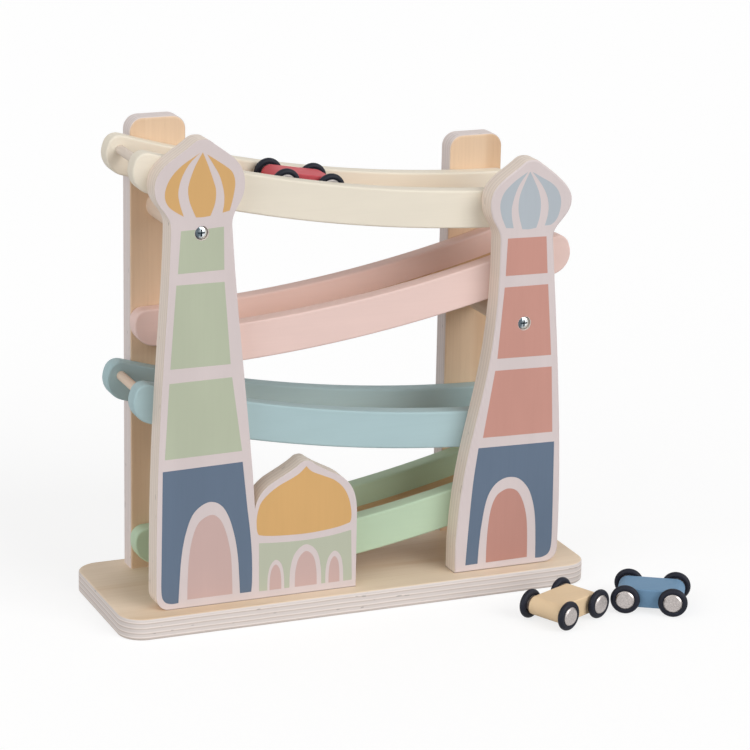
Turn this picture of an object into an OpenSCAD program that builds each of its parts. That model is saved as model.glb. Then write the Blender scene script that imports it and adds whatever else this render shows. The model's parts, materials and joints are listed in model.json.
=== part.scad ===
// Click clack track: toy cars run down four zig-zag ramps between two tower boards and two posts.
// Origin: middle of the base board's underside. X runs along the board, Y to the back, Z up.

/* [Base] */
// Width of the base board
base_w = 320; // [290:1:360]
// Depth of the base board
base_d = 110; // [106:1:140]
// Thickness of the base board
base_t = 14; // [11:0.5:20]
// Corner radius of the base board
base_r = 16; // [6:1:30]
// Round-over along the edges of base and posts
edge_r = 1.5; // [0.5:0.1:3]

/* [Posts and cross bars] */
// Distance of the left tower's middle from the base board's left end
left_inset = 53; // [46:0.5:60]
// Distance of the right tower's middle from the base board's right end
right_inset = 48.5; // [42:0.5:56]
// Front face of the towers, measured forward from the middle of the base
tower_front = 44; // [40:0.5:50]
// Thickness of the tower boards
tower_t = 15.5; // [13:0.5:20]
// Clear distance between towers and posts, filled by the ramps
ramp_w = 63.5; // [58:0.5:68]
// Thickness of the posts
post_t = 14; // [11:0.5:16]
// Width of the posts
post_w = 37.2; // [30:0.1:46]
// Offset of the posts from the towers' middles
post_dx = -1.2; // [-4:0.1:4]
// Height of the left post
left_post_h = 297; // [280:1:320]
// Height of the right post
right_post_h = 271.5; // [255:0.5:300]
// Radius of the posts' top corners
post_r = 9; // [4:0.5:14]
// Diameter of the cross bars
bar_d = 18; // [13:0.5:22]
// Height of the left cross bar above the base board
left_bar_z = 241; // [235:0.5:245]
// Height of the right cross bar above the base board
right_bar_z = 164.6; // [150:0.5:168]

/* [Towers] */
// Height of the left tower
left_h = 298.8; // [290:0.2:320]
// Height of the right tower
right_h = 271.3; // [262:0.1:295]
// Height of the left dome
left_dome_h = 53.6; // [47:0.1:60]
// Height of the right dome
right_dome_h = 51.5; // [46:0.1:56]
// Outer half width of the left dome
left_dome_out = 30; // [26:0.1:33]
// Inner half width of the left dome
left_dome_in = 27.7; // [25:0.1:31]
// Outer half width of the right dome
right_dome_out = 30.8; // [26:0.1:33]
// Inner half width of the right dome
right_dome_in = 26.2; // [24:0.1:30]
// Offset of the left dome's tip towards its outer side
left_tip = -0.6; // [-3:0.1:3]
// Offset of the right dome's tip towards its outer side
right_tip = 1.9; // [-3:0.1:4]
// Half width of the rounding at the tips
tip_r = 8; // [2:0.1:10]
// Width of the left neck below the dome
left_neck = 39.2; // [34:0.2:44]
// Width of the right neck below the dome
right_neck = 37; // [32:0.2:42]
// Outer half width of the left foot
left_out = 29; // [26:0.5:36]
// Inner half width of the left foot
left_in = 36; // [30:0.5:42]
// Outer half width of the right foot
right_out = 29.8; // [25:0.1:35]
// Inner half width of the right foot
right_in = 44; // [38:0.5:50]
// Radius of the towers' outer bottom corners
foot_r = 9; // [3:0.5:14]
// Width of the small domed hall beside the left tower
hall_w = 70.2; // [60:0.2:76]
// Height of the hall's walls
hall_wall = 50; // [40:0.5:60]
// Height of the hall's dome above its walls
hall_dome = 38.4; // [30:0.2:48]

/* [Ramps] */
// Fall of the rails from the high end to the arc's lowest point
ramp_fall = 42.63; // [39:0.01:48]
// Lowest point of the arc, outward from the tower's middle
arc_out = 22.75; // [16:0.05:32]
// Height step from one ramp to the next
ramp_pitch = 72.8; // [70:0.1:76]
// Gap between the base board and the lowest rail
low_gap = 5.8; // [2:0.1:10]
// Height of the rails
rail_h = 24.3; // [22.5:0.1:28]
// Thickness of the rails
rail_t = 11.2; // [9:0.2:11.8]
// Rounding of the rails' ends at the top edge
top_r = 8; // [3:0.5:9]
// Rounding of the rails' ends at the bottom edge
low_r = 14; // [6:0.5:15]
// Reach of the high ends past the tower's middle
high_out = 34.95; // [30:0.05:40]
// Reach of the bottom ramp's high end past the tower's middle
bottom_out = 24.75; // [20:0.05:29]
// Reach of the low ends past the tower's middle
low_out = 20.25; // [12:0.05:22.5]
// Depth of the floor below the rail tops
floor_drop = 15; // [14:0.5:16]
// Thickness of the floor strip
floor_t = 4; // [3:0.5:5]
// Distance of the floor from the high end
floor_back = 19; // [16:0.5:22]
// Distance of the floor's low end from the tower's middle
floor_short = 17.25; // [10:0.05:21]
// Diameter of the stop dowels
stop_d = 6; // [4:0.5:7]
// Stop dowel's distance from the rail's end
stop_in = 8.5; // [6.5:0.5:10]
// Stop dowel's depth below the rail tops
stop_drop = 8.8; // [7:0.1:11]
// Depth of the dowel's seat in each rail
stop_seat = 4; // [2:0.5:5]

/* [Screws] */
// Diameter of the screw heads
head_d = 8; // [7:0.2:9]
// Height of the screw heads
head_h = 2.4; // [1.8:0.1:2.6]
// Diameter of the screw shanks
screw_d = 4; // [3:0.1:5]
// Length of the screws in cross bars and feet
screw_bite = 22; // [15:1:26]
// Depth of the counterbores for the heads
sink = 2.8; // [2.7:0.1:4]
// Distance of the tower screws under the base from the tower's middle
tower_screw_dx = 17; // [12:0.5:20]
// Distance of the post screws under the base from the post's middle
post_screw_dx = 10; // [7:0.5:11]

/* [Cars] */
// Diameter of the wheels over the tyres
wheel_d = 19; // [17:0.2:21]
// Width of the hubs
hub_w = 5.5; // [4.8:0.1:6.2]
// Diameter of the hubs' faces
hub_d = 12; // [10.8:0.1:12.8]
// Diameter of the tyre's round section
tyre_d = 4.2; // [3.8:0.1:4.6]
// Distance between the axles
wheelbase = 30.5; // [27:0.5:32]
// Diameter of the axles
axle_d = 3; // [2.4:0.1:3.4]
// Depth of the axles' seats in the hubs
axle_seat = 3.8; // [2.5:0.1:4.2]
// Side play of the cars between the rails
car_play = 2.15; // [1:0.05:3]
// Height of the car bodies
car_h = 12.4; // [11:0.2:14]
// Round-over along the sides of the car bodies
car_edge = 0.8; // [0.3:0.1:1.5]
// Place of the red car on the top ramp, from the middle of the track
red_u = -27.9; // [-80:0.1:60]
// Place of the yellow car along the track
yellow_x = 116.5; // [90:0.1:117]
// Place of the yellow car in front of the track
yellow_y = -106.4; // [-140:0.1:-100]
// Heading of the yellow car
yellow_turn = 24.9; // [0:0.1:30]
// Place of the blue car along the track
blue_x = 177.7; // [177:0.1:200]
// Place of the blue car in front of the track
blue_y = -107.4; // [-112:0.1:-80]
// Heading of the blue car
blue_turn = -31.6; // [-45:0.1:-20]

/* [Clearances] */
// Radial clearance of screws and dowels in their holes
fit = 0.05; // [0.02:0.01:0.1]
// Radial running clearance of the axles in the car bodies
axle_fit = 0.08; // [0.04:0.01:0.1]
// Side play between body and hubs
side_play = 0.6; // [0.3:0.1:1]
// Running gap under the red car's wheels
run_gap = 0.3; // [0.2:0.05:0.5]

/* [Hidden] */
$fn = 64;
eps = 1;

left_x = left_inset - base_w / 2;
right_x = base_w / 2 - right_inset;
tower_y = -tower_front;
ramp_y = tower_y + tower_t;
post_y = ramp_y + ramp_w;
inner_w = ramp_w - 2 * rail_t;
ramp_mid = (left_x + right_x) / 2;
half_span = (right_x - left_x) / 2;
high_end = half_span + high_out;
low_end = half_span + low_out;
ramp_low = half_span + arc_out;
ramp_r = ((high_end + ramp_low) ^ 2 + ramp_fall ^ 2) / (2 * ramp_fall);
arc_z = base_t + low_gap + rail_h + ramp_r;
low_s = arc_s(low_end);
channel_y = ramp_y + ramp_w / 2;
foot_y = tower_y + tower_t / 2;
hall_x = left_in + hall_w / 2 - eps;
post_mid_y = post_y + post_t / 2;

car_w = inner_w - 2 * (car_play + hub_w + side_play);
wheel_r = wheel_d / 2;
tyre_mid = wheel_r - tyre_d / 2;
hub_in = car_w / 2 + side_play;
ride_r = ramp_r + floor_drop - run_gap - wheel_r;
ride_mid = sqrt(ride_r ^ 2 - (wheelbase / 2) ^ 2);

cream = [0.90, 0.86, 0.78];
pink = [0.90, 0.78, 0.75];
sky = [0.65, 0.76, 0.80];
mint = [0.71, 0.80, 0.70];
bare = [0.87, 0.74, 0.60];
white = [0.86, 0.82, 0.80];
steel = [0.72, 0.73, 0.75];
black = [0.12, 0.12, 0.14];
red = [0.80, 0.36, 0.40];
yellow = [0.84, 0.74, 0.56];
blue = [0.42, 0.55, 0.66];

// Reach of a ramp's high end
function reach(level) = level == 0 ? half_span + bottom_out : high_end;

// Arc length along the rail tops, from the lowest point, at a distance u from the middle of the track
function arc_s(u) = ramp_r * asin((u - ramp_low) / ramp_r) * PI / 180;

// Point of the ramp's side view: s along the rail tops, d below them
function arc_pt(s, d) =
    let (a = s / ramp_r * 180 / PI)
    [ramp_low + (ramp_r + d) * sin(a), arc_z - (ramp_r + d) * cos(a)];

// Quarter round with its middle at c, from angle a, in s and d
function corner(c, r, a, n) = [for (i = [0 : n]) c + r * [cos(a + 90 * i / n), sin(a + 90 * i / n)]];

// Row of points from s0 to s1 at depth d
function along(s0, s1, d, n) = [for (i = [1 : n - 1]) [s0 + (s1 - s0) * i / n, d]];

// Cubic curve through two ends with two handles
function curve(a, b, c, d, n) =
    [for (i = [0 : n])
        let (t = i / n, k = 1 - t)
        k ^ 3 * a + 3 * k ^ 2 * t * b + 3 * k * t ^ 2 * c + t ^ 3 * d];

function flip(p) = [for (i = [len(p) - 1 : -1 : 0]) [-p[i].x, p[i].y]];

// One side of a tower above its foot, as distance from the middle and height
// Belly and shoulder are [half width, depth] below the neck; m is the dome's half width, d its height
// Full is how far up the dome keeps its width, as a share of its height
function tower_side(foot, foot_z, belly, shoulder, neck, m, d, full, tip, h) =
    let (z = h - d, p = [tip + tip_r, h - 0.45 * tip_r])
    concat(
        curve([foot, foot_z], [belly.x, z - belly.y], [shoulder.x, z - shoulder.y], [neck, z], 14),
        curve([neck, z], [neck, z + 0.18 * d], [m, z + 0.24 * d], [m, z + 0.46 * d], 10),
        curve([m, z + 0.46 * d], [m, z + full * d], p + 0.4 * (m - tip) * [1, -0.72], p, 12),
        curve(p, p + tip_r * [-0.45, 0.36], [tip + 0.45 * tip_r, h], [tip, h], 4));

// Plate standing in X and Z, from depth y0 and t thick
module slab(y0, t) {
    translate([0, y0 + t, 0])
        rotate([90, 0, 0])
            linear_extrude(t)
                children();
}

// Rounded rectangle on the X axis
module soft_rect(w, h, r) {
    translate([-w / 2 + r, 0])
        square([w - 2 * r, h]);
    translate([-w / 2, r])
        square([w, h - 2 * r]);
    for (x = [-1, 1], y = [r, h - r])
        translate([x * (w / 2 - r), y])
            circle(r);
}

// Lying board with round corners and softened edges
module soft_board(w, d, t, r, e) {
    rotate([90, 0, 90])
        translate([0, 0, r - w / 2])
            linear_extrude(w - 2 * r)
                soft_rect(d, t, e);
    rotate([90, 0, 0])
        translate([0, 0, r - d / 2])
            linear_extrude(d - 2 * r)
                soft_rect(w, t, e);
    for (x = [-1, 1], y = [-1, 1])
        translate([x * (w / 2 - r), y * (d / 2 - r), 0])
            rotate_extrude()
                intersection() {
                    soft_rect(2 * r, t, e);
                    square([r, t]);
                }
}

// Screw with its head above the origin and its shank below
module screw(length) {
    difference() {
        intersection() {
            cylinder(d = head_d, h = head_h);
            translate([0, 0, head_h - head_d])
                sphere(head_d);
        }
        for (a = [0, 90])
            rotate(a)
                translate([-0.29 * head_d, -0.06 * head_d, 0.45 * head_h])
                    cube([0.58 * head_d, 0.12 * head_d, head_h]);
    }
    translate([0, 0, -length])
        cylinder(d = screw_d, h = length + 0.3 * head_h);
}

// Room for a screw: counterbore and shank hole
module screw_hole(length) {
    cylinder(d = head_d + 4 * fit + 0.6, h = sink + eps);
    translate([0, 0, -length])
        cylinder(d = screw_d + 2 * fit, h = length + eps);
}

// Screw places
module at_tower_screws() {
    for (p = [[left_x, left_bar_z], [right_x, right_bar_z]])
        translate([p.x, tower_y + sink, base_t + p.y])
            rotate([90, 0, 0])
                children();
}

module at_post_screws() {
    for (p = [[left_x, left_bar_z], [right_x, right_bar_z]])
        translate([p.x, post_y + post_t - sink, base_t + p.y])
            rotate([-90, 0, 0])
                children();
}

module at_base_screws() {
    for (x = [left_x, right_x], side = [-1, 1]) {
        translate([x + side * tower_screw_dx, foot_y, sink])
            rotate([180, 0, 0])
                children();
        translate([x + post_dx + side * post_screw_dx, post_mid_y, sink])
            rotate([180, 0, 0])
                children();
    }
}

// Base, posts and bars
module base_board() {
    color(bare)
        difference() {
            soft_board(base_w, base_d, base_t, base_r, edge_r);
            at_base_screws()
                screw_hole(base_t + eps);
        }
}

module post(x, h) {
    color(bare)
        difference() {
            translate([x, post_y + post_t, base_t + (h - post_r) / 2])
                rotate([90, 0, 0])
                    soft_board(post_w, h + post_r, post_t, post_r, edge_r);
            translate([x - post_w, post_y - eps, base_t - 2 * post_r])
                cube([2 * post_w, post_t + 2 * eps, 2 * post_r]);
            at_post_screws()
                screw_hole(post_t + eps);
            at_base_screws()
                screw_hole(base_t - sink + screw_bite);
        }
}

module left_post() {
    post(left_x + post_dx, left_post_h);
}

module right_post() {
    post(right_x + post_dx, right_post_h);
}

module cross_bar(x, z) {
    color(bare)
        difference() {
            translate([x, ramp_y, base_t + z])
                rotate([-90, 0, 0])
                    cylinder(d = bar_d, h = ramp_w);
            at_tower_screws()
                screw_hole(tower_t - sink + screw_bite);
            at_post_screws()
                screw_hole(post_t - sink + screw_bite);
        }
}

module left_cross_bar() {
    cross_bar(left_x, left_bar_z);
}

module right_cross_bar() {
    cross_bar(right_x, right_bar_z);
}

// Towers: the outer side is drawn to the left
module tower_shape(outer, inner, out_foot, in_foot) {
    polygon(concat(
        [[in_foot, 0]],
        [[-out_foot + foot_r, 0]],
        [for (i = [1 : 6]) [-out_foot + foot_r, foot_r] - foot_r * [sin(15 * i), cos(15 * i)]],
        flip([for (i = [len(outer) - 1 : -1 : 0]) outer[i]]),
        [for (i = [len(inner) - 2 : -1 : 0]) inner[i]]));
}

module hall_shape() {
    w = hall_w / 2;
    z = hall_wall;
    d = hall_dome;
    bend = [0.57 * w, z + 0.72 * d];
    neck = [0.1 * w, z + 0.975 * d];
    side = concat(
        curve([w, z], [w, z + 0.45 * d], bend + [0.24 * w, -0.11 * d], bend, 12),
        curve(bend, bend + [-0.17 * w, 0.08 * d], neck + [0.1 * w, -0.08 * d], neck, 8),
        curve(neck, neck + [-0.04 * w, 0.022 * d], [0.035 * w, z + d], [0, z + d], 3));
    polygon(concat(
        [[-w, 0], [w, 0]],
        side,
        flip([for (i = [0 : len(side) - 2]) side[i]])));
}

module tower_holes() {
    at_tower_screws()
        screw_hole(tower_t + eps);
    at_base_screws()
        screw_hole(base_t - sink + screw_bite);
}

module left_tower() {
    n = left_neck / 2;
    d = left_dome_h;
    tip = left_tip;
    h = left_h;
    belly = [left_in - 3, 132];
    outer = tower_side(left_out, foot_r + 5, [left_out, 106], [n + 1, 61], n, left_dome_out, d, 0.7, tip, h);
    inner = tower_side(left_in, hall_wall + 10, belly, [n + 4, 66], n, left_dome_in, d, 0.7, -tip, h);
    color(white)
        difference() {
            translate([left_x, 0, base_t])
                union() {
                    slab(tower_y, tower_t)
                        tower_shape(outer, inner, left_out, left_in);
                    slab(tower_y, tower_t)
                        translate([hall_x, 0])
                            hall_shape();
                }
            tower_holes();
        }
}

module right_tower() {
    n = right_neck / 2;
    d = right_dome_h;
    tip = right_tip;
    h = right_h;
    belly = [right_out + 1, 134];
    outer = tower_side(right_out, foot_r + 7, belly, [n + 4.6, 60], n, right_dome_out, d, 0.61, tip, h);
    inner = tower_side(right_in, 20, [right_in - 4, 115], [n - 1, 105], n, right_dome_in, d, 0.7, -tip, h);
    color(white)
        difference() {
            translate([right_x, 0, base_t])
                slab(tower_y, tower_t)
                    mirror([1, 0])
                        tower_shape(outer, inner, right_out, right_in);
            tower_holes();
        }
}

// Ramps: level 0 at the bottom to 3 at the top, each one turned against the one below
module on_level(level) {
    translate([ramp_mid, 0, level * ramp_pitch])
        mirror([level % 2 == 0 ? 1 : 0, 0, 0])
            children();
}

module rail_shape(high_s) {
    h = rail_h;
    n = 26;
    outline = concat(
        along(high_s + top_r, low_s - top_r, 0, n),
        corner([low_s - top_r, top_r], top_r, -90, 6),
        corner([low_s - low_r, h - low_r], low_r, 0, 10),
        along(low_s - low_r, high_s + low_r, h, n),
        corner([high_s + low_r, h - low_r], low_r, 90, 10),
        corner([high_s + top_r, top_r], top_r, 180, 6));
    polygon([for (p = outline) arc_pt(p.x, p.y)]);
}

// Stop dowel, or its seats when grown by the fit
module stop_pin(high_s, grow) {
    p = arc_pt(high_s + stop_in, stop_drop);
    translate([p.x, ramp_y + rail_t - stop_seat, p.y])
        rotate([-90, 0, 0])
            cylinder(d = stop_d + 2 * grow, h = inner_w + 2 * stop_seat);
}

module rail(level, y0, tint) {
    high_s = arc_s(-reach(level));
    color(tint)
        on_level(level)
            difference() {
                slab(y0, rail_t)
                    rail_shape(high_s);
                stop_pin(high_s, fit);
            }
}

module front_rail(level, tint) {
    rail(level, ramp_y, tint);
}

module back_rail(level, tint) {
    rail(level, post_y - rail_t, tint);
}

module ramp_floor(level) {
    s0 = arc_s(floor_back - reach(level));
    s1 = arc_s(half_span - floor_short);
    n = 22;
    outline = concat(
        [[s0, floor_drop]],
        along(s0, s1, floor_drop, n),
        [[s1, floor_drop], [s1, floor_drop + floor_t]],
        along(s1, s0, floor_drop + floor_t, n),
        [[s0, floor_drop + floor_t]]);
    color(bare)
        on_level(level)
            slab(ramp_y + rail_t, inner_w)
                polygon([for (p = outline) arc_pt(p.x, p.y)]);
}

module ramp_stop(level) {
    color(bare)
        on_level(level)
            stop_pin(arc_s(-reach(level)), 0);
}

module top_front_rail() { front_rail(3, cream); }
module top_back_rail() { back_rail(3, cream); }
module top_floor() { ramp_floor(3); }
module top_stop() { ramp_stop(3); }
module second_front_rail() { front_rail(2, pink); }
module second_back_rail() { back_rail(2, pink); }
module second_floor() { ramp_floor(2); }
module second_stop() { ramp_stop(2); }
module third_front_rail() { front_rail(1, sky); }
module third_back_rail() { back_rail(1, sky); }
module third_floor() { ramp_floor(1); }
module third_stop() { ramp_stop(1); }
module bottom_front_rail() { front_rail(0, mint); }
module bottom_back_rail() { back_rail(0, mint); }
module bottom_floor() { ramp_floor(0); }
module bottom_stop() { ramp_stop(0); }

// Screws
module tower_screws() {
    color(steel)
        at_tower_screws()
            screw(tower_t - sink + screw_bite);
}

module post_screws() {
    color(steel)
        at_post_screws()
            screw(post_t - sink + screw_bite);
}

module base_screws() {
    color(steel)
        at_base_screws()
            screw(base_t - sink + screw_bite);
}

// Cars: X along the car, the ground under the wheels at zero height
module red_place() {
    translate([ramp_mid + ramp_low, channel_y, arc_z + 3 * ramp_pitch])
        rotate([0, asin((ramp_low - red_u) / ride_mid), 0])
            translate([0, 0, -ride_mid - wheel_r])
                children();
}

module yellow_place() {
    translate([yellow_x, yellow_y, 0])
        rotate(yellow_turn)
            children();
}

module blue_place() {
    translate([blue_x, blue_y, 0])
        rotate(blue_turn)
            children();
}

module at_axle(end) {
    translate([end * wheelbase / 2, 0, wheel_r])
        rotate([-90, 0, 0])
            children();
}

// Body: round at both ends, with softened sides
module car_body() {
    difference() {
        union() {
            translate([0, 0, wheel_r - car_h / 2])
                rotate([90, 0, 90])
                    translate([0, 0, -wheelbase / 2])
                        linear_extrude(wheelbase)
                            soft_rect(car_w, car_h, car_edge);
            for (end = [-1, 1])
                at_axle(end)
                    translate([0, 0, -car_w / 2])
                        rotate_extrude()
                            intersection() {
                                soft_rect(car_h, car_w, car_edge);
                                square([car_h, car_w]);
                            }
        }
        for (end = [-1, 1])
            at_axle(end)
                translate([0, 0, -car_w])
                    cylinder(d = axle_d + 2 * axle_fit, h = 2 * car_w);
    }
}

module axle(end) {
    reach = hub_in + axle_seat;
    color(steel)
        at_axle(end)
            translate([0, 0, -reach])
                cylinder(d = axle_d, h = 2 * reach);
}

// Hub: turned disc with a softened outer face, a groove for the tyre and a seat for the axle
module hub() {
    c = 0.07 * hub_d;
    difference() {
        rotate_extrude()
            difference() {
                polygon([[0, 0], [hub_d / 2, 0], [hub_d / 2, hub_w - c], [hub_d / 2 - c, hub_w], [0, hub_w]]);
                translate([tyre_mid, hub_w / 2])
                    circle(d = tyre_d + 2 * fit);
            }
        translate([0, 0, -eps])
            cylinder(d = axle_d + 2 * fit, h = axle_seat + eps);
    }
}

module hubs(end) {
    color(steel)
        at_axle(end)
            for (side = [0, 1])
                mirror([0, 0, side])
                    translate([0, 0, hub_in])
                        hub();
}

module tyres(end) {
    color(black)
        at_axle(end)
            for (side = [-1, 1])
                translate([0, 0, side * (hub_in + hub_w / 2)])
                    rotate_extrude()
                        translate([tyre_mid, 0])
                            circle(d = tyre_d);
}

module red_body() { color(red) red_place() car_body(); }
module red_front_axle() { red_place() axle(1); }
module red_rear_axle() { red_place() axle(-1); }
module red_front_hubs() { red_place() hubs(1); }
module red_rear_hubs() { red_place() hubs(-1); }
module red_front_tyres() { red_place() tyres(1); }
module red_rear_tyres() { red_place() tyres(-1); }
module yellow_body() { color(yellow) yellow_place() car_body(); }
module yellow_front_axle() { yellow_place() axle(1); }
module yellow_rear_axle() { yellow_place() axle(-1); }
module yellow_front_hubs() { yellow_place() hubs(1); }
module yellow_rear_hubs() { yellow_place() hubs(-1); }
module yellow_front_tyres() { yellow_place() tyres(1); }
module yellow_rear_tyres() { yellow_place() tyres(-1); }
module blue_body() { color(blue) blue_place() car_body(); }
module blue_front_axle() { blue_place() axle(1); }
module blue_rear_axle() { blue_place() axle(-1); }
module blue_front_hubs() { blue_place() hubs(1); }
module blue_rear_hubs() { blue_place() hubs(-1); }
module blue_front_tyres() { blue_place() tyres(1); }
module blue_rear_tyres() { blue_place() tyres(-1); }

base_board();
left_post();
right_post();
left_tower();
right_tower();
left_cross_bar();
right_cross_bar();
top_front_rail();
top_back_rail();
top_floor();
top_stop();
second_front_rail();
second_back_rail();
second_floor();
second_stop();
third_front_rail();
third_back_rail();
third_floor();
third_stop();
bottom_front_rail();
bottom_back_rail();
bottom_floor();
bottom_stop();
tower_screws();
post_screws();
base_screws();
red_body();
red_front_axle();
red_rear_axle();
red_front_hubs();
red_rear_hubs();
red_front_tyres();
red_rear_tyres();
yellow_body();
yellow_front_axle();
yellow_rear_axle();
yellow_front_hubs();
yellow_rear_hubs();
yellow_front_tyres();
yellow_rear_tyres();
blue_body();
blue_front_axle();
blue_rear_axle();
blue_front_hubs();
blue_rear_hubs();
blue_front_tyres();
blue_rear_tyres();
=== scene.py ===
"""Looks of the click clack track: painted tower boards, plywood, bare wood, rubber and metal."""

import json
import math

import bmesh
import bpy
from mathutils import Matrix, Vector
from mathutils.geometry import delaunay_2d_cdt


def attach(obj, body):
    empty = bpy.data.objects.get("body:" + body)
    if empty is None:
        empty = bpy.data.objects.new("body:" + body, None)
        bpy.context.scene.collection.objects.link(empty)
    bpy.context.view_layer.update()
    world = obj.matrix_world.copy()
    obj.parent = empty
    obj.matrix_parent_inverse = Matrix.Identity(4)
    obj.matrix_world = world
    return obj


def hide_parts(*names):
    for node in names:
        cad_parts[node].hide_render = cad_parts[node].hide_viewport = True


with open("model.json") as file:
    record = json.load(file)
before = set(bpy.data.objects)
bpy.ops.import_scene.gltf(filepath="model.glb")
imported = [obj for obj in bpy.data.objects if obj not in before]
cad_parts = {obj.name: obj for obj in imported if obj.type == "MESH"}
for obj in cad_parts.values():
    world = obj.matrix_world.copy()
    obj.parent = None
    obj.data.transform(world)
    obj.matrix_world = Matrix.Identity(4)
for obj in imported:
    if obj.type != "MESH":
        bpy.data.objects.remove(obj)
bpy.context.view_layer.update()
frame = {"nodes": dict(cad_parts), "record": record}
NODES = frame["nodes"]
MM = 0.001

# Places and sizes in mm, in the frame of the CAD model
BASE_TOP = 14.0
POST_FRONT, POST_BACK = 35.0, 49.0
TOWER_FRONT, TOWER_BACK = -44.0, -28.5
TOWER_RIM, RAIL_RIM = 1.3, 1.2  # width of the rounded rims
FOOT_SHADE_LOW, FOOT_SHADE_HIGH = 14.2, 14.8  # painted shadow line under the towers, where they stand on the base
SLOT_SHADE_EDGE, SLOT_SHADE_FLOOR = -42.6, -42.4  # depth where painted shade starts in the tower screws' cross slots
LEFT_SCREW, RIGHT_SCREW = (-107.0, 255.0), (111.5, 178.6)
SCREW_RING = 4.6  # no paint within this of a tower screw
HALL_FOOT = 18.9  # lower end of the hall's windows
PAINT = 0.06  # how far the paint stands out

# Noise cells per metre, along and across the grain
FIGURE, FIBRE, PORES = (3.2, 34), (14, 520), (60, 1900)
PAINT_CLOUD, PAINT_FIBRE, PAINT_SPECK = (9, 30), (22, 640), 1500

# Plywood edges: glue lines from one face (0) to the other (1), and how much each channel darkens there
GLUE_LINES = (0.15, 0.37, 0.6, 0.84)
LINE_LEAD, LINE_HALF = 0.1, 0.045
LINE_SHADE = (0.2, 0.26, 0.32, 0)
LAYER_WAVE = 0.7  # mm by which the layers wander

# Grain axis, roughness and specular level of painted wood
RAIL_FINISH = (0, 0.6, 0.25)
CAR_FINISH = (0, 0.6, 0.3)

# Light: strengths as Blender counts them, spreads in degrees
SKY_LEVEL = 0.37
FLOOR_HALF, FLOOR_BOUNCE, FLOOR_SEEN, FLOOR_GLOW = 12.0, 0.5, 0.3, 0.75
LAMPS = {
    "key": ((1.0, -1.7, 1.05), 1.73, 45.0),
    "fill": ((-1.85, -0.75, 0.5), 1.45, 70.0),
    "rim": ((0.3, 1.6, 1.4), 0.2, 70.0),
}

# Camera of the photo
LENS, SENSOR, NEAR = 148.147, 36.0, 0.05
EYE = Vector((-0.7159, -1.753798, 0.711365))
RIGHT = Vector((0.922848, -0.384663, 0.019659))
UP = Vector((0.093212, 0.272566, 0.957611))
TOWARD = Vector((-0.373716, -0.881897, 0.287392))


def srgb(r, g, b):
    """Linear colour of an sRGB one given from 0 to 255."""
    def part(c):
        c /= 255
        return c / 12.92 if c <= 0.04045 else ((c + 0.055) / 1.055) ** 2.4
    return (part(r), part(g), part(b), 1.0)


def tone(c, k):
    """A colour made lighter or darker by a factor."""
    return (min(c[0] * k, 1), min(c[1] * k, 1), min(c[2] * k, 1), 1.0)


# Paints
WHITE = srgb(216, 203, 202)
CREAM = srgb(238, 229, 212)
PINK = srgb(236, 207, 199)
SKY = srgb(174, 199, 203)
MINT = srgb(190, 212, 184)
GOLD = srgb(214, 169, 108)
NAVY = srgb(93, 110, 131)
SAGE = srgb(183, 190, 166)
CLAY = srgb(199, 145, 132)
HAZE = srgb(178, 186, 193)
BLUSH = srgb(203, 173, 167)
LEAF = srgb(186, 190, 170)


class Shader:
    """A principled material with short calls for its nodes."""

    def __init__(self, name, rough=0.5, metal=0.0):
        self.mat = bpy.data.materials.new(name)
        self.mat.use_nodes = True
        self.tree = self.mat.node_tree
        self.out = self.tree.nodes["Principled BSDF"]
        self.out.inputs["Roughness"].default_value = rough
        self.out.inputs["Metallic"].default_value = metal
        self.coords = self.node("ShaderNodeTexCoord")

    def node(self, kind, **values):
        n = self.tree.nodes.new(kind)
        for k, v in values.items():
            setattr(n, k, v)
        return n

    def link(self, a, b):
        self.tree.links.new(a, b)

    def put(self, socket, value):
        if isinstance(value, bpy.types.NodeSocket):
            self.link(value, socket)
        else:
            socket.default_value = value

    def math(self, op, a, b=0.0):
        n = self.node("ShaderNodeMath", operation=op)
        self.put(n.inputs[0], a)
        self.put(n.inputs[1], b)
        return n.outputs[0]

    def spread(self, value, lo, hi, to_lo=0.0, to_hi=1.0):
        n = self.node("ShaderNodeMapRange", interpolation_type="SMOOTHSTEP")
        for s, v in zip(n.inputs, (value, lo, hi, to_lo, to_hi)):
            self.put(s, v)
        return n.outputs[0]

    def place(self, scale):
        """Object coordinates in metres, stretched by scale."""
        n = self.node("ShaderNodeMapping")
        n.inputs["Scale"].default_value = scale
        self.link(self.coords.outputs["Object"], n.inputs["Vector"])
        return n.outputs[0]

    def noise(self, vector, detail=3.0, rough=0.55, warp=0.0):
        n = self.node("ShaderNodeTexNoise")
        self.link(vector, n.inputs["Vector"])
        n.inputs["Scale"].default_value = 1.0
        n.inputs["Detail"].default_value = detail
        n.inputs["Roughness"].default_value = rough
        n.inputs["Distortion"].default_value = warp
        return n.outputs["Fac"]

    def ramp(self, value, stops):
        n = self.node("ShaderNodeValToRGB")
        e = n.color_ramp.elements
        while len(e) < len(stops):
            e.new(1.0)
        for x, (at, c) in zip(e, stops):
            x.position = at
            x.color = c
        self.link(value, n.inputs["Fac"])
        return n.outputs["Color"]

    def mix(self, fac, a, b):
        n = self.node("ShaderNodeMix", data_type="RGBA")
        self.put(n.inputs["Factor"], fac)
        self.put(n.inputs["A"], a)
        self.put(n.inputs["B"], b)
        return n.outputs["Result"]

    def axis(self, vector, i):
        n = self.node("ShaderNodeSeparateXYZ")
        self.link(vector, n.inputs[0])
        return n.outputs[i]

    def colour(self, value):
        self.put(self.out.inputs["Base Color"], value)

    def rough(self, value):
        self.put(self.out.inputs["Roughness"], value)

    def bump(self, height, strength, distance):
        n = self.node("ShaderNodeBump")
        n.inputs["Strength"].default_value = strength
        n.inputs["Distance"].default_value = distance
        self.link(height, n.inputs["Height"])
        self.link(n.outputs[0], self.out.inputs["Normal"])


def along(axis, slow, fast):
    """Scales for a grain that runs along one axis: 0 X, 1 Y, 2 Z."""
    return tuple(slow if i == axis else fast for i in range(3))


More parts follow.
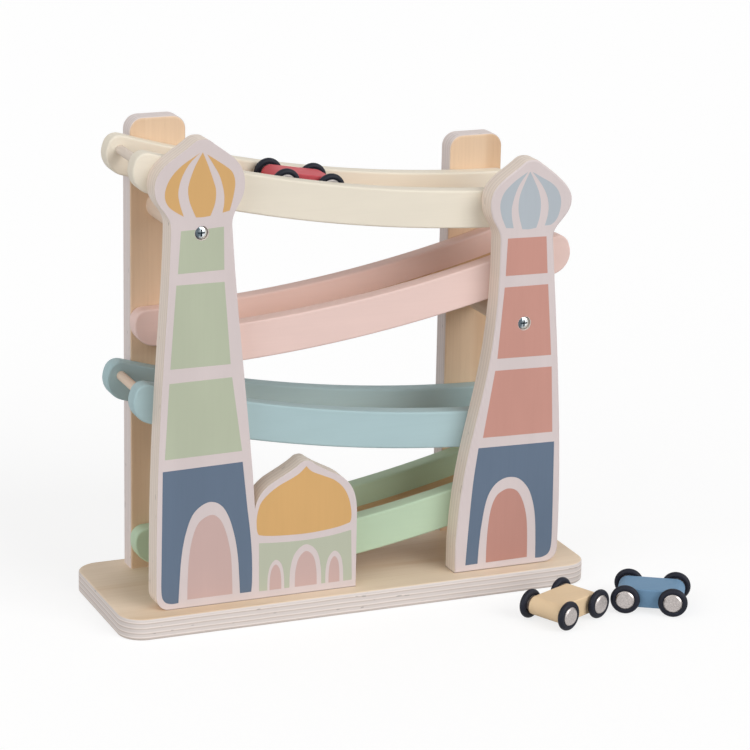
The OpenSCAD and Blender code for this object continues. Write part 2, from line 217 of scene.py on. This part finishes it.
def grain_of(s, axis, light, dark):
    """Bare wood: broad figure, fine fibres and small pores along one axis. Returns colour and height."""
    broad = s.noise(s.place(along(axis, *FIGURE)), 3.0, 0.5, 0.6)
    fibre = s.noise(s.place(along(axis, *FIBRE)), 4.0, 0.6)
    pores = s.noise(s.place(along(axis, *PORES)), 2.0, 0.5)
    base = s.ramp(broad, [(0.3, dark), (0.5, tone(light, 0.97)), (0.72, light)])
    fine = s.mix(s.spread(fibre, 0.35, 0.68, 0.0, 0.14), base, tone(dark, 0.88))
    dots = s.mix(s.spread(pores, 0.66, 0.78, 0.0, 0.22), fine, tone(dark, 0.7))
    return dots, s.math("ADD", fibre, pores)


def ply_edge(s, axis, low, high, tint, depth):
    """Edge of a plywood board: thin glue lines between layers stacked along one axis, from low to high in mm."""
    wave = s.noise(s.place((30,) * 3), 2.0)
    at = s.axis(s.coords.outputs["Object"], axis)
    shift = s.math("MULTIPLY", s.math("SUBTRACT", wave, 0.5), LAYER_WAVE * MM)
    level = s.math("SUBTRACT", s.math("ADD", at, shift), low * MM)
    t = s.math("DIVIDE", level, (high - low) * MM)
    pale = tone(tint, 1 + 0.3 * depth)
    line = tuple(c * (1 - k * depth) for c, k in zip(tint, LINE_SHADE))
    stops = [(0.0, tint)]
    for p in GLUE_LINES:
        stops += [(p - LINE_LEAD, tint), (p - LINE_HALF, line), (p, pale), (p + LINE_HALF, tint)]
    bands = s.ramp(t, stops)
    streak = s.noise(s.place(along(axis, 900, 46)), 4.0, 0.65)
    soft = s.mix(s.spread(streak, 0.35, 0.75, 0.0, 0.3), bands, tone(tint, 0.9))
    spots = s.noise(s.place(along(axis, 420, 120)), 1.0)
    return s.mix(s.spread(spots, 0.72, 0.77, 0.0, 0.6), soft, tone(tint, 0.45)), streak


def facing(s, axis, lo=0.6, hi=0.85):
    """1 on surfaces that look along one axis, 0 on the others."""
    return s.spread(s.math("ABSOLUTE", s.axis(s.coords.outputs["Normal"], axis)), lo, hi)


def board(name, axis, low, high, grain, light, dark, tint, depth, rough=0.6):
    """Bare plywood: grain on the faces, layers on the edges."""
    s = Shader(name, rough)
    face, pores = grain_of(s, grain, light, dark)
    edge, streak = ply_edge(s, axis, low, high, tint, depth)
    flat = facing(s, axis)
    s.colour(s.mix(flat, edge, face))
    s.rough(s.spread(pores, 0.6, 1.4, rough - 0.06, rough + 0.1))
    s.bump(s.math("ADD", pores, streak), 0.12, 0.0003)
    return s.mat


def wood(name, grain, light, dark, rough=0.62):
    """Bare solid wood."""
    s = Shader(name, rough)
    face, pores = grain_of(s, grain, light, dark)
    s.colour(face)
    s.rough(s.spread(pores, 0.6, 1.4, rough - 0.06, rough + 0.1))
    s.bump(pores, 0.14, 0.0003)
    return s.mat


def paint_on(s, colour, grain):
    """Matt paint with the wood's grain faintly below it. Returns colour and height."""
    cloud = s.noise(s.place(along(grain, *PAINT_CLOUD)), 3.0)
    fibre = s.noise(s.place(along(grain, *PAINT_FIBRE)), 4.0, 0.6)
    speck = s.noise(s.place((PAINT_SPECK,) * 3), 1.0)
    a = s.mix(s.spread(cloud, 0.3, 0.7), tone(colour, 0.965), tone(colour, 1.025))
    b = s.mix(s.spread(fibre, 0.42, 0.72, 0.0, 0.22), a, tone(colour, 0.94))
    return b, s.math("ADD", fibre, s.math("MULTIPLY", speck, 0.35))


def painted(name, colour, grain=0, rough=0.5, shine=0.5):
    """Painted wood."""
    s = Shader(name, rough)
    s.out.inputs["Specular IOR Level"].default_value = shine
    c, h = paint_on(s, colour, grain)
    s.colour(c)
    s.rough(s.spread(h, 0.4, 1.0, rough - 0.05, rough + 0.08))
    s.bump(h, 0.06, 0.00025)
    return s.mat


def tower_board(name):
    """White face at the front, bare wood at the back, layers on the edges, a painted shadow line at the foot where
    the board meets the base.
    """
    s = Shader(name, 0.55)
    white, h = paint_on(s, WHITE, 2)
    bare, _ = grain_of(s, 2, srgb(226, 200, 170), srgb(205, 172, 138))
    edge, streak = ply_edge(s, 1, TOWER_FRONT, TOWER_BACK, srgb(228, 214, 202), 0.55)
    ny = s.axis(s.coords.outputs["Normal"], 1)
    skin = s.mix(s.math("GREATER_THAN", ny, 0.0), white, bare)
    whole = s.mix(facing(s, 1, 0.45, 0.7), edge, skin)
    # Painted shadow: a thin brown-grey band just above the base, darkest at the foot and fading upwards
    foot_shade = s.spread(s.axis(s.coords.outputs["Object"], 2), FOOT_SHADE_LOW * MM, FOOT_SHADE_HIGH * MM, 0.75, 0.0)
    s.colour(s.mix(foot_shade, whole, srgb(112, 90, 76)))
    s.bump(s.math("ADD", h, streak), 0.1, 0.00025)
    return s.mat


def metal(name, colour, rough, brush, blots=260):
    """Worn metal with fine marks, brushed along one axis or all round, and blots of a given fineness."""
    s = Shader(name, rough, 1.0)
    marks = s.noise(s.place(brush), 3.0, 0.6)
    blot = s.noise(s.place((blots,) * 3), 2.0)
    s.colour(s.mix(s.spread(blot, 0.35, 0.65), tone(colour, 0.8), tone(colour, 1.06)))
    s.rough(s.spread(marks, 0.3, 0.7, rough - 0.08, rough + 0.12))
    s.bump(marks, 0.08, 0.0001)
    return s.mat


def screw_face(name):
    """Plated screw heads in the towers: painted highlight on one side of the domes, painted shade in the cross slots
    and on the flanks.
    """
    s = Shader(name, 0.16, 1.0)
    blot = s.noise(s.place((520,) * 3), 2.0, 0.5, 0.4)
    # Painted highlight and shade: the dome is lighter where it faces +X and darker where it faces -X, broken up by
    # blots
    lean = s.axis(s.coords.outputs["Normal"], 0)
    turn = s.math("ADD", lean, s.math("MULTIPLY", s.math("SUBTRACT", blot, 0.5), 0.9))
    shine = s.ramp(s.spread(turn, -0.5, 0.4),
                   [(0.1, srgb(92, 104, 112)), (0.45, srgb(178, 188, 193)), (0.7, srgb(233, 238, 240))])
    # Painted shade in the cross slots: dark below the slot depth
    slot = s.spread(s.axis(s.coords.outputs["Object"], 1), SLOT_SHADE_EDGE * MM, SLOT_SHADE_FLOOR * MM)
    low = s.mix(slot, shine, srgb(48, 62, 70))
    # Painted shade on the flanks: surfaces that do not face along Y are coloured dark
    s.colour(s.mix(facing(s, 1, 0.3, 0.75), srgb(46, 52, 55), low))
    s.rough(s.spread(blot, 0.3, 0.7, 0.1, 0.26))
    s.bump(blot, 0.1, 0.0002)
    return s.mat


def rubber(name):
    """Dusty black rubber."""
    s = Shader(name, 0.62)
    dust = s.noise(s.place((180,) * 3), 4.0, 0.6)
    fine = s.noise(s.place((2600,) * 3), 2.0)
    s.colour(s.mix(s.spread(dust, 0.45, 0.8, 0.0, 0.5), srgb(19, 22, 34), srgb(38, 42, 59)))
    s.rough(s.spread(fine, 0.3, 0.7, 0.45, 0.62))
    s.out.inputs["Specular IOR Level"].default_value = 0.25
    s.bump(fine, 0.2, 0.0001)
    return s.mat


MATERIALS = {
    "base_ply": board("base_ply", 2, 0.0, BASE_TOP, 0, srgb(238, 217, 192), srgb(222, 195, 163),
                      srgb(221, 211, 206), 0.95),
    "post_ply": board("post_ply", 1, POST_FRONT, POST_BACK, 2, srgb(232, 203, 172), srgb(214, 180, 146),
                      srgb(222, 211, 208), 0.6),
    "tower_board": tower_board("tower_board"),
    "cream_rail": painted("cream_rail", CREAM, *RAIL_FINISH),
    "pink_rail": painted("pink_rail", PINK, *RAIL_FINISH),
    "sky_rail": painted("sky_rail", SKY, *RAIL_FINISH),
    "mint_rail": painted("mint_rail", MINT, *RAIL_FINISH),
    "floor_strip": wood("floor_strip", 0, srgb(214, 176, 134), srgb(190, 147, 104)),
    "bare_dowel": wood("bare_dowel", 1, srgb(228, 206, 186), srgb(208, 182, 160)),
    "screw_steel": metal("screw_steel", srgb(176, 181, 187), 0.28, (900,) * 3),
    "axle_steel": metal("axle_steel", srgb(190, 192, 196), 0.3, (1200, 60, 1200)),
    "hub_metal": metal("hub_metal", srgb(190, 183, 180), 0.34, (900,) * 3, 1300),
    "tyre": rubber("tyre"),
    "red_paint": painted("red_paint", srgb(200, 82, 89), *CAR_FINISH),
    "yellow_paint": painted("yellow_paint", srgb(237, 209, 171), *CAR_FINISH),
    "blue_paint": painted("blue_paint", srgb(113, 149, 180), *CAR_FINISH),
}
OWN = {
    "tower_screws": screw_face("screw_face"),
    "top_stop": wood("pale_dowel", 1, srgb(228, 214, 200), srgb(214, 198, 182)),
}
for row in frame["record"]["subparts"]:
    mesh = NODES[row["node"]].data
    mesh.materials.clear()
    mesh.materials.append(OWN.get(row["node"], MATERIALS[row["material_slot"]]))


def new_piece(name, bm, material, body="track"):
    """A mesh piece that rides on a body."""
    mesh = bpy.data.meshes.new(name)
    bm.to_mesh(mesh)
    bm.free()
    mesh.materials.append(material)
    piece = bpy.data.objects.new(name, mesh)
    bpy.context.scene.collection.objects.link(piece)
    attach(piece, body)
    return piece


def rim_edges(bm, side):
    """The outer rim of the flat face on one side in Y: the widest loop of edges between that face and the rest."""
    rim = []
    for e in bm.edges:
        if len(e.link_faces) != 2:
            continue
        a, b = (f.normal.y * side for f in e.link_faces)
        if max(a, b) > 0.95 and min(a, b) < 0.3:
            rim.append(e)
    left, loops = set(rim), []
    for first in rim:
        if first not in left:
            continue
        left.discard(first)
        stack, loop = [first], []
        while stack:
            e = stack.pop()
            loop.append(e)
            for v in e.verts:
                for o in v.link_edges:
                    if o in left:
                        left.discard(o)
                        stack.append(o)
        loops.append(loop)

    def reach(loop):
        xs = [v.co.x for e in loop for v in e.verts]
        return max(xs) - min(xs)
    return max(loops, key=reach)


def soften(node, width, slot):
    """A copy of a flat board with its rims rounded, shown in place of the sharp one."""
    bm = bmesh.new()
    bm.from_mesh(NODES[node].data)
    bmesh.ops.remove_doubles(bm, verts=bm.verts, dist=1e-6)
    bmesh.ops.dissolve_limit(bm, angle_limit=math.radians(0.5), verts=bm.verts, edges=bm.edges)
    bm.normal_update()
    rims = rim_edges(bm, -1) + rim_edges(bm, 1)
    bmesh.ops.bevel(bm, geom=rims, offset=width, offset_type="OFFSET", segments=4, profile=0.5,
                    affect="EDGES", clamp_overlap=True)
    bmesh.ops.triangulate(bm, faces=[f for f in bm.faces if len(f.verts) > 4])
    piece = new_piece(node + "_soft", bm, MATERIALS[slot])
    piece.data.shade_smooth()
    piece.data.set_sharp_from_angle(angle=math.radians(38))
    for face in piece.data.polygons:
        face.use_smooth = abs(face.normal.y) < 0.9995
    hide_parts(node)


for tower in ("left_tower", "right_tower"):
    soften(tower, TOWER_RIM * MM, "tower_board")
for ramp, slot in (("top", "cream_rail"), ("second", "pink_rail"), ("third", "sky_rail"), ("bottom", "mint_rail")):
    for side in ("front", "back"):
        soften(f"{ramp}_{side}_rail", RAIL_RIM * MM, slot)


def smooth(points, steps=8):
    """Smooth line through the points, without the last one."""
    def between(a, b, c, d, t):
        return 0.5 * (2 * b + (c - a) * t + (2 * a - 5 * b + 4 * c - d) * t * t
                      + (3 * b - a - 3 * c + d) * t ** 3)
    out = []
    for i in range(len(points) - 1):
        near = (points[max(i - 1, 0)], points[i], points[i + 1], points[min(i + 2, len(points) - 1)])
        for k in range(steps):
            out.append(tuple(between(*four, k / steps) for four in zip(*near)))
    return out


def outline(*runs):
    """Closed outline: each run is smooth in itself and meets the next at a corner."""
    return [p for run in runs for p in (smooth(run) + [run[-1]])]


def ring(middle, r, start=0.0, end=360.0, n=40):
    """Points on a circle, or on an arc of it with both its ends."""
    turns = [math.radians(start + (end - start) * i / n) for i in range(n + (end - start < 360))]
    return [(middle[0] + r * math.cos(a), middle[1] + r * math.sin(a)) for a in turns]


def within(p, loops):
    """Whether a point is inside the first outline and outside the holes."""
    inside = False
    for loop in loops:
        for a, b in zip(loop, loop[1:] + loop[:1]):
            if (a[1] > p.y) != (b[1] > p.y) and p.x < a[0] + (p.y - a[1]) / (b[1] - a[1]) * (b[0] - a[0]):
                inside = not inside
    return inside


def film(name, colour, shapes):
    """Paint on the front of a tower: each shape is a list of outlines in mm, the first its border, the rest holes."""
    bm = bmesh.new()
    front, back = (TOWER_FRONT - PAINT) * MM, (TOWER_FRONT + PAINT) * MM
    for loops in shapes:
        points, edges = [], []
        for loop in loops:
            clean = [p for i, p in enumerate(loop) if math.dist(p, loop[i - 1]) > 0.02]
            base = len(points)
            points += [Vector(p) for p in clean]
            edges += [(base + i, base + (i + 1) % len(clean)) for i in range(len(clean))]
        at, _, faces, *_ = delaunay_2d_cdt(points, edges, [], 1, 1e-5)
        kept = [f for f in faces if within(sum((at[i] for i in f), Vector((0, 0))) / len(f), loops)]
        used = sorted({i for f in kept for i in f})
        verts = {i: bm.verts.new((at[i].x * MM, front, at[i].y * MM)) for i in used}
        made = [bm.faces.new([verts[i] for i in f]) for f in kept]
        bmesh.ops.recalc_face_normals(bm, faces=made)
        if made[0].normal.y > 0:
            bmesh.ops.reverse_faces(bm, faces=made)
        grown = bmesh.ops.extrude_face_region(bm, geom=made, use_keep_orig=True)["geom"]
        for v in grown:
            if isinstance(v, bmesh.types.BMVert):
                v.co.y = back
    bmesh.ops.recalc_face_normals(bm, faces=bm.faces)
    bmesh.ops.triangulate(bm, faces=[f for f in bm.faces if len(f.verts) > 4])
    new_piece(name, bm, painted(name, colour, 2))


# Left tower
LEFT_GORES = [
    [outline([(-108.3, 304.6), (-120.0, 297.4), (-127.5, 289.5), (-130.6, 280.3), (-127.8, 272.5), (-118.5, 266.0)],
             [(-118.5, 266.0), (-121.2, 274.5), (-122.0, 281.5), (-119.9, 290.0), (-115.0, 298.4), (-108.3, 304.6)])],
    [outline([(-106.5, 305.0), (-111.4, 296.5), (-115.0, 287.1), (-115.8, 281.2), (-114.6, 274.2), (-110.8, 265.1)],
             [(-110.8, 265.1), (-106.4, 264.9), (-101.5, 265.4)],
             [(-101.5, 265.4), (-98.6, 273.0), (-98.0, 280.8), (-99.7, 287.2), (-102.9, 296.3), (-106.5, 305.0)])],
    [outline([(-103.8, 303.6), (-92.2, 295.7), (-87.4, 291.2), (-85.7, 284.8), (-86.8, 276.5), (-89.1, 267.8)],
             [(-89.1, 267.8), (-93.7, 266.7)],
             [(-93.7, 266.7), (-92.7, 273.0), (-93.0, 280.0), (-95.6, 289.5), (-99.7, 296.9), (-103.8, 303.6)])],
]
LEFT_PANELS = [
    [[(-120.3, 257.2), *reversed(ring(LEFT_SCREW, SCREW_RING, 32.0, -212.0)), (-92.8, 258.0), (-92.4, 231.0),
      (-122.2, 230.6)]],
    [[(-123.2, 223.5), (-92.2, 223.3), (-87.9, 170.6), (-127.0, 170.7)]],
    [[(-127.6, 161.6), (-86.9, 162.1), (-80.0, 113.6), (-130.5, 112.9)]],
]
LEFT_ARCH = [(-121.6, 18.0), (-120.8, 32.8), (-119.6, 48.3), (-117.2, 62.0), (-112.9, 74.2), (-106.8, 80.4),
             (-100.0, 82.4), (-93.2, 79.0), (-88.2, 70.5), (-84.4, 57.5), (-82.2, 43.7), (-81.1, 28.0), (-80.7, 19.4)]
LEFT_WALL = [outline(
    [(-131.9, 105.3), (-79.5, 106.4)],
    [(-79.5, 106.4), (-76.2, 76.4), (-74.0, 58.4), (-72.8, 42.5), (-72.6, 26.7), (-73.1, 19.4)],
    [(-73.1, 19.4), LEFT_ARCH[-1]],
    LEFT_ARCH[::-1],
    [LEFT_ARCH[0], (-126.8, 18.0), (-131.0, 20.2), (-132.8, 26.5), (-132.7, 44.7), (-132.3, 75.6), (-131.9, 105.3)])]
LEFT_DOOR = [outline(
    [(-115.7, 19.5), (-115.5, 32.0), (-114.6, 47.0), (-112.2, 60.5), (-108.0, 69.8), (-100.2, 73.8), (-94.6, 70.6),
     (-90.6, 62.3), (-87.5, 49.6), (-86.3, 38.0), (-85.7, 19.6)],
    [(-85.7, 19.6), (-115.7, 19.5)])]

# Hall
FIELD = [outline(
    [(-36.8, 98.9), (-33.0, 95.0), (-25.5, 91.4), (-17.6, 87.6), (-11.4, 81.8), (-7.6, 74.4), (-5.8, 66.0),
     (-5.7, 61.0), (-6.5, 58.0)],
    [(-6.5, 58.0), (-14.4, 56.0), (-25.1, 54.7), (-35.8, 54.1), (-46.4, 54.3), (-57.1, 54.9), (-66.6, 56.2),
     (-69.2, 58.4), (-69.9, 66.0), (-68.8, 73.2), (-66.4, 78.8), (-60.5, 84.4), (-54.3, 88.3), (-47.0, 91.6),
     (-41.5, 94.6), (-36.8, 98.9)])]


def window(left, right, top):
    """Round-headed opening in the hall, from its left foot over the head to its right foot."""
    mid, half = (left + right) / 2, (right - left) / 2
    waist, shoulder = (HALL_FOOT + k * (top - HALL_FOOT) for k in (0.45, 0.82))
    return [(left, HALL_FOOT), (left + 0.04 * half, waist), (mid - 0.66 * half, shoulder), (mid, top),
            (mid + 0.66 * half, shoulder), (right - 0.06 * half, waist), (right, HALL_FOOT)]


def pane(left, right, top):
    """Closed outline of a window."""
    return [outline(window(left, right, top), [(right, HALL_FOOT), (left, HALL_FOOT)])]


HALL_WALL = [outline(
    [(-68.1, 51.2), (-51.7, 50.0), (-35.7, 49.7), (-19.7, 50.6), (-5.6, 52.8)],
    [(-5.6, 52.8), (-4.6, 19.0)],
    [(-4.6, 19.0), (-10.5, HALL_FOOT)],
    window(-22.9, -10.5, 40.1)[::-1],
    [(-22.9, HALL_FOOT), (-25.6, HALL_FOOT)],
    window(-47.3, -25.6, 46.8)[::-1],
    [(-47.3, HALL_FOOT), (-50.8, HALL_FOOT)],
    window(-62.3, -50.8, 38.8)[::-1],
    [(-62.3, HALL_FOOT), (-67.8, 19.0)],
    [(-67.8, 19.0), (-68.1, 51.2)])]
HALL_PANES = [pane(-60.7, -52.8, 35.6), pane(-43.6, -28.7, 42.2), pane(-20.6, -13.1, 36.4)]

# Right tower
RIGHT_GORES = [
    [outline([(110.4, 277.6), (104.7, 274.3), (99.2, 270.3), (94.2, 265.0), (91.9, 258.0), (93.0, 250.5),
              (96.4, 242.4)],
             [(96.4, 242.4), (101.6, 241.9)],
             [(101.6, 241.9), (100.1, 249.5), (100.2, 257.0), (104.0, 268.5), (110.4, 277.6)])],
    [outline([(111.9, 277.8), (108.4, 270.6), (105.5, 263.2), (104.6, 256.6), (105.2, 250.0), (107.7, 240.8)],
             [(107.7, 240.8), (112.4, 240.4), (117.5, 241.1)],
             [(117.5, 241.1), (119.6, 248.2), (120.1, 256.5), (118.5, 264.1), (115.0, 271.8), (111.9, 277.8)])],
    [outline([(113.6, 277.4), (120.8, 273.2), (127.6, 269.0), (132.2, 263.8), (134.3, 256.5), (132.6, 247.5),
              (128.4, 242.6), (123.4, 242.0)],
             [(123.4, 242.0), (125.3, 248.6), (125.6, 255.3), (124.0, 262.0), (120.0, 269.2), (113.6, 277.4)])],
]
RIGHT_PANELS = [
    [[(97.9, 235.4), (124.9, 234.8), (126.6, 210.6), (97.2, 211.0)]],
    [[(96.8, 203.5), (127.3, 203.2), (131.3, 155.8), (93.2, 156.7)], ring(RIGHT_SCREW, SCREW_RING)],
    [[(92.0, 148.8), (132.0, 147.9), (134.2, 103.6), (84.8, 104.6)]],
]
RIGHT_ARCH = [(83.7, 18.8), (84.3, 31.0), (85.7, 45.5), (88.6, 61.5), (93.0, 70.3), (99.1, 74.9), (105.6, 75.9),
              (112.0, 73.7), (117.8, 67.5), (121.3, 59.4), (123.7, 48.4), (124.8, 33.0), (125.1, 17.9)]
RIGHT_WALL = [outline(
    [(81.9, 97.9), (135.8, 96.8)],
    [(135.8, 96.8), (136.2, 70.0), (136.6, 39.5), (136.4, 26.0), (134.6, 20.2), (130.0, 17.9), (125.1, 17.9)],
    RIGHT_ARCH[::-1],
    [(83.7, 18.8), (75.0, 18.7)],
    [(75.0, 18.7), (76.2, 39.0), (78.0, 65.0), (79.5, 80.2), (81.9, 97.9)])]
RIGHT_DOOR = [outline(
    [(89.6, 18.9), (89.7, 31.3), (90.5, 44.9), (92.4, 56.6), (95.8, 64.0), (101.0, 67.5), (105.7, 68.0),
     (110.6, 65.5), (114.5, 58.9), (117.3, 49.4), (118.6, 37.6), (119.1, 19.2)],
    [(119.1, 19.2), (89.6, 18.9)])]

film("left_gores_paint", GOLD, LEFT_GORES)
film("left_panels_paint", SAGE, LEFT_PANELS)
film("left_wall_paint", NAVY, [LEFT_WALL])
film("left_door_paint", BLUSH, [LEFT_DOOR])
film("hall_dome_paint", GOLD, [FIELD])
film("hall_wall_paint", LEAF, [HALL_WALL])
film("hall_windows_paint", BLUSH, HALL_PANES)
film("right_gores_paint", HAZE, RIGHT_GORES)
film("right_panels_paint", CLAY, RIGHT_PANELS)
film("right_wall_paint", NAVY, [RIGHT_WALL])
# The right door's clay is made a tenth darker: painted shade for the light falling off towards the lower right
film("right_door_paint", tone(CLAY, 0.9), [RIGHT_DOOR])


# Floor, light and camera
def direct_rays(tree):
    """1 for camera, glossy and transmission rays, 0 for the light that falls on things."""
    path = tree.nodes.new("ShaderNodeLightPath")
    value = path.outputs["Is Camera Ray"]
    for kind in ("Is Glossy Ray", "Is Transmission Ray"):
        either = tree.nodes.new("ShaderNodeMath")
        either.operation = "MAXIMUM"
        tree.links.new(value, either.inputs[0])
        tree.links.new(path.outputs[kind], either.inputs[1])
        value = either.outputs[0]
    return value


def stage_floor():
    """Pale floor: grey for the light that it throws back, near white with a soft shadow where it is seen."""
    bm = bmesh.new()
    bmesh.ops.create_grid(bm, x_segments=1, y_segments=1, size=FLOOR_HALF)
    mesh = bpy.data.meshes.new("floor")
    bm.to_mesh(mesh)
    bm.free()
    floor = bpy.data.objects.new("floor", mesh)
    bpy.context.scene.collection.objects.link(floor)
    mat = bpy.data.materials.new("floor")
    mat.use_nodes = True
    tree = mat.node_tree
    tree.nodes.clear()
    out = tree.nodes.new("ShaderNodeOutputMaterial")
    plain = tree.nodes.new("ShaderNodeBsdfDiffuse")
    plain.inputs["Color"].default_value = (FLOOR_BOUNCE,) * 3 + (1,)
    seen = tree.nodes.new("ShaderNodeBsdfDiffuse")
    seen.inputs["Color"].default_value = (FLOOR_SEEN,) * 3 + (1,)
    glow = tree.nodes.new("ShaderNodeEmission")
    glow.inputs["Strength"].default_value = FLOOR_GLOW
    both = tree.nodes.new("ShaderNodeAddShader")
    tree.links.new(seen.outputs[0], both.inputs[0])
    tree.links.new(glow.outputs[0], both.inputs[1])
    choose = tree.nodes.new("ShaderNodeMixShader")
    tree.links.new(direct_rays(tree), choose.inputs[0])
    tree.links.new(plain.outputs[0], choose.inputs[1])
    tree.links.new(both.outputs[0], choose.inputs[2])
    tree.links.new(choose.outputs[0], out.inputs["Surface"])
    mesh.materials.append(mat)


def sky(light):
    """White to the camera and in reflections, soft and even on the object."""
    world = bpy.data.worlds.new("studio")
    bpy.context.scene.world = world
    world.use_nodes = True
    tree = world.node_tree
    back = tree.nodes["Background"]
    level = tree.nodes.new("ShaderNodeMapRange")
    tree.links.new(direct_rays(tree), level.inputs["Value"])
    level.inputs["To Min"].default_value = light
    level.inputs["To Max"].default_value = 1.0
    back.inputs["Color"].default_value = (1, 1, 1, 1)
    tree.links.new(level.outputs[0], back.inputs["Strength"])


def soft_sun(name, at, level, spread):
    """Broad even light from one side."""
    lamp = bpy.data.lights.new(name, "SUN")
    lamp.angle = math.radians(spread)
    lamp.energy = level
    obj = bpy.data.objects.new(name, lamp)
    obj.location = at
    obj.rotation_euler = (-Vector(at)).to_track_quat("-Z", "Y").to_euler()
    bpy.context.scene.collection.objects.link(obj)


stage_floor()
sky(SKY_LEVEL)
for lamp_name, lamp_values in LAMPS.items():
    soft_sun(lamp_name, *lamp_values)

camera = bpy.data.cameras.new("camera")
camera.sensor_width = SENSOR
camera.lens = LENS
camera.clip_start = NEAR
view = bpy.data.objects.new("camera", camera)
view.matrix_world = Matrix.Translation(EYE) @ Matrix((RIGHT, UP, TOWARD)).transposed().to_4x4()
bpy.context.scene.collection.objects.link(view)
bpy.context.scene.camera = view
bpy.context.scene.view_settings.view_transform = "Standard"
